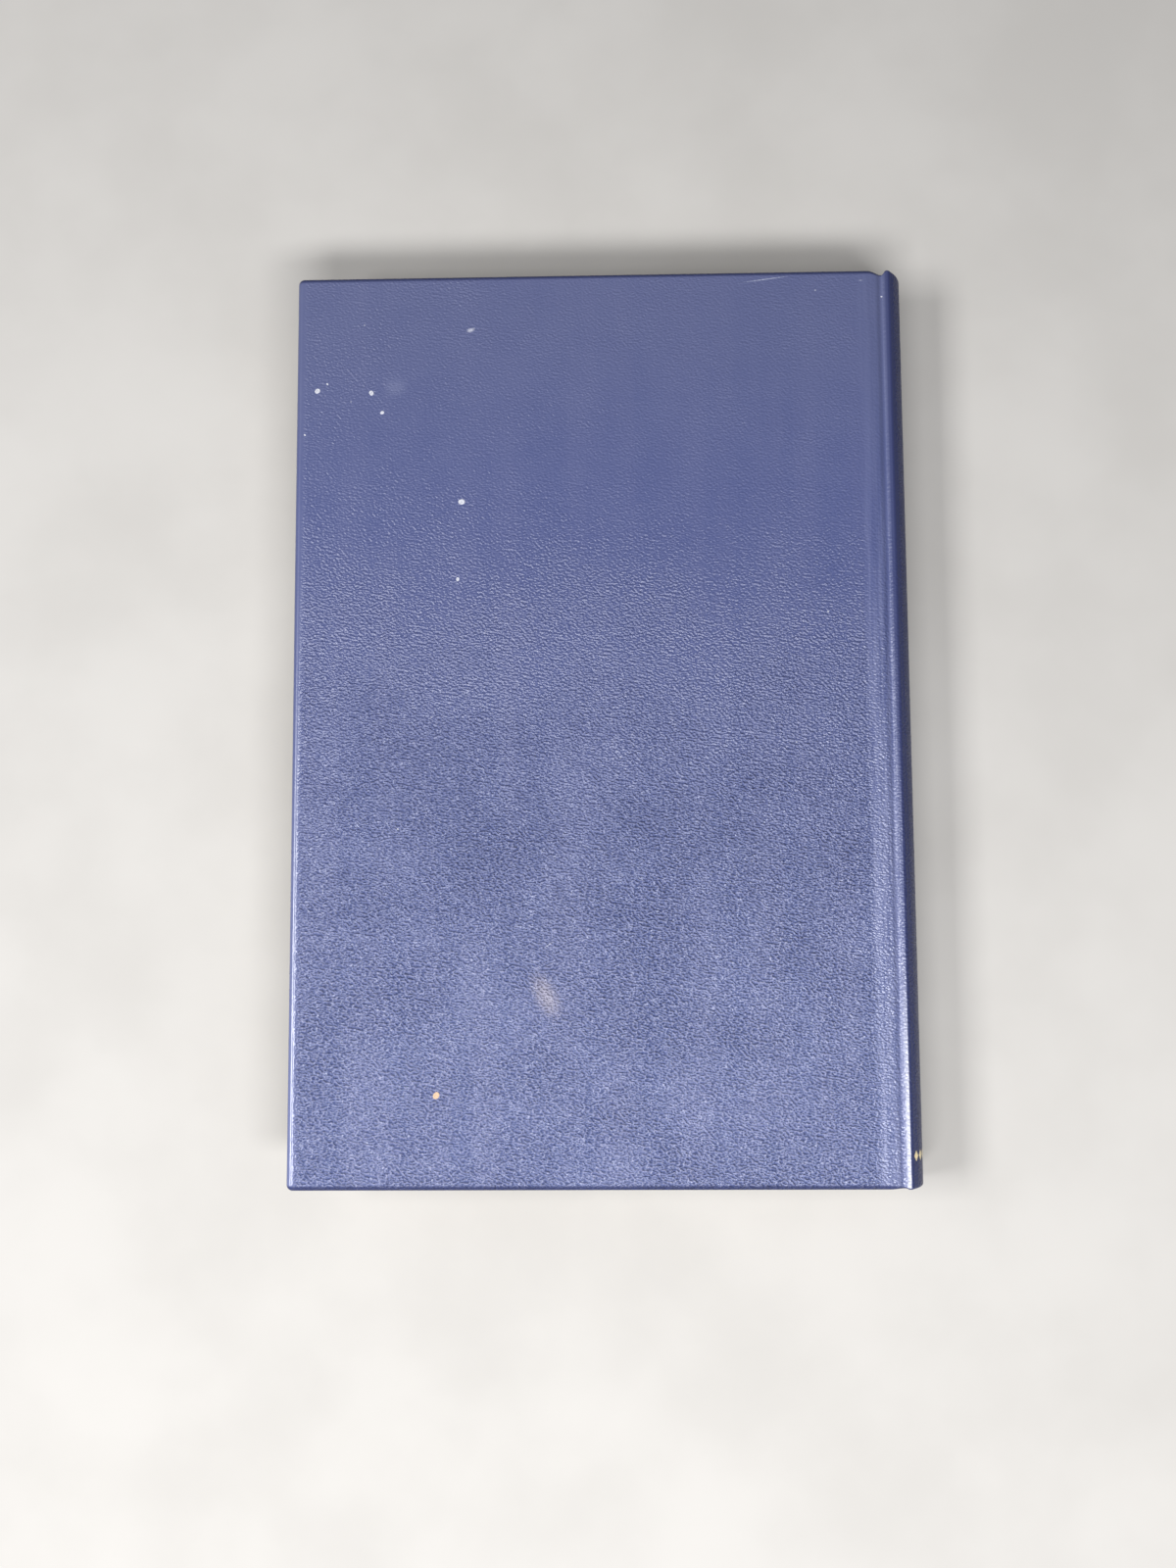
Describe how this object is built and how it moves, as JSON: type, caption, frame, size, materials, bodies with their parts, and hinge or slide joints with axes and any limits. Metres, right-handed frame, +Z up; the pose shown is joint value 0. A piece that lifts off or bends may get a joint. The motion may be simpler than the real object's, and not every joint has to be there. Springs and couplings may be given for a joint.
{
  "type": "hardback book",
  "caption": "Closed case-bound hardback book in leather-grained blue boards, with a rounded spine and covers that open on grooved joints",
  "frame": {"origin": "on the table under the middle of the closed book, which lies on its front cover", "axes": "+X towards the spine, +Y towards the head of the book, +Z up, out of the back cover"},
  "size_m": [0.15, 0.222, 0.02],
  "materials": {
    "leatherette": "blue leather-grained covering with a soft gloss",
    "greyboard": "pressed grey paper board, matt",
    "pages": "cream book paper, cut edges",
    "endpaper": "plain off-white paper, matt",
    "mull": "open-weave cotton cloth, glued",
    "lining": "brown kraft paper, matt",
    "band": "woven cotton band, red and cream"
  },
  "bodies": {
    "book_block": {"text_block": "pages", "back_flyleaf": "endpaper", "front_flyleaf": "endpaper", "mull": "mull", "spine_lining": "lining", "head_band": "band", "tail_band": "band", "spine_card": "greyboard", "spine_covering": "leatherette"},
    "back_cover": {"back_board": "greyboard", "back_covering": "leatherette", "back_mull_flange": "mull", "back_pastedown": "endpaper"},
    "front_cover": {"front_board": "greyboard", "front_covering": "leatherette", "front_mull_flange": "mull", "front_pastedown": "endpaper"}
  },
  "joints": [
    {"name": "back_cover_hinge", "type": "hinge", "parent": "book_block", "child": "back_cover", "pos_m": [0.07065, 0, 0.01825], "axis": [0, 1, 0], "range_deg": [0, 180]},
    {"name": "front_cover_hinge", "type": "hinge", "parent": "book_block", "child": "front_cover", "pos_m": [0.07065, 0, 0.00175], "axis": [0, -1, 0], "range_deg": [0, 180]}
  ]
}
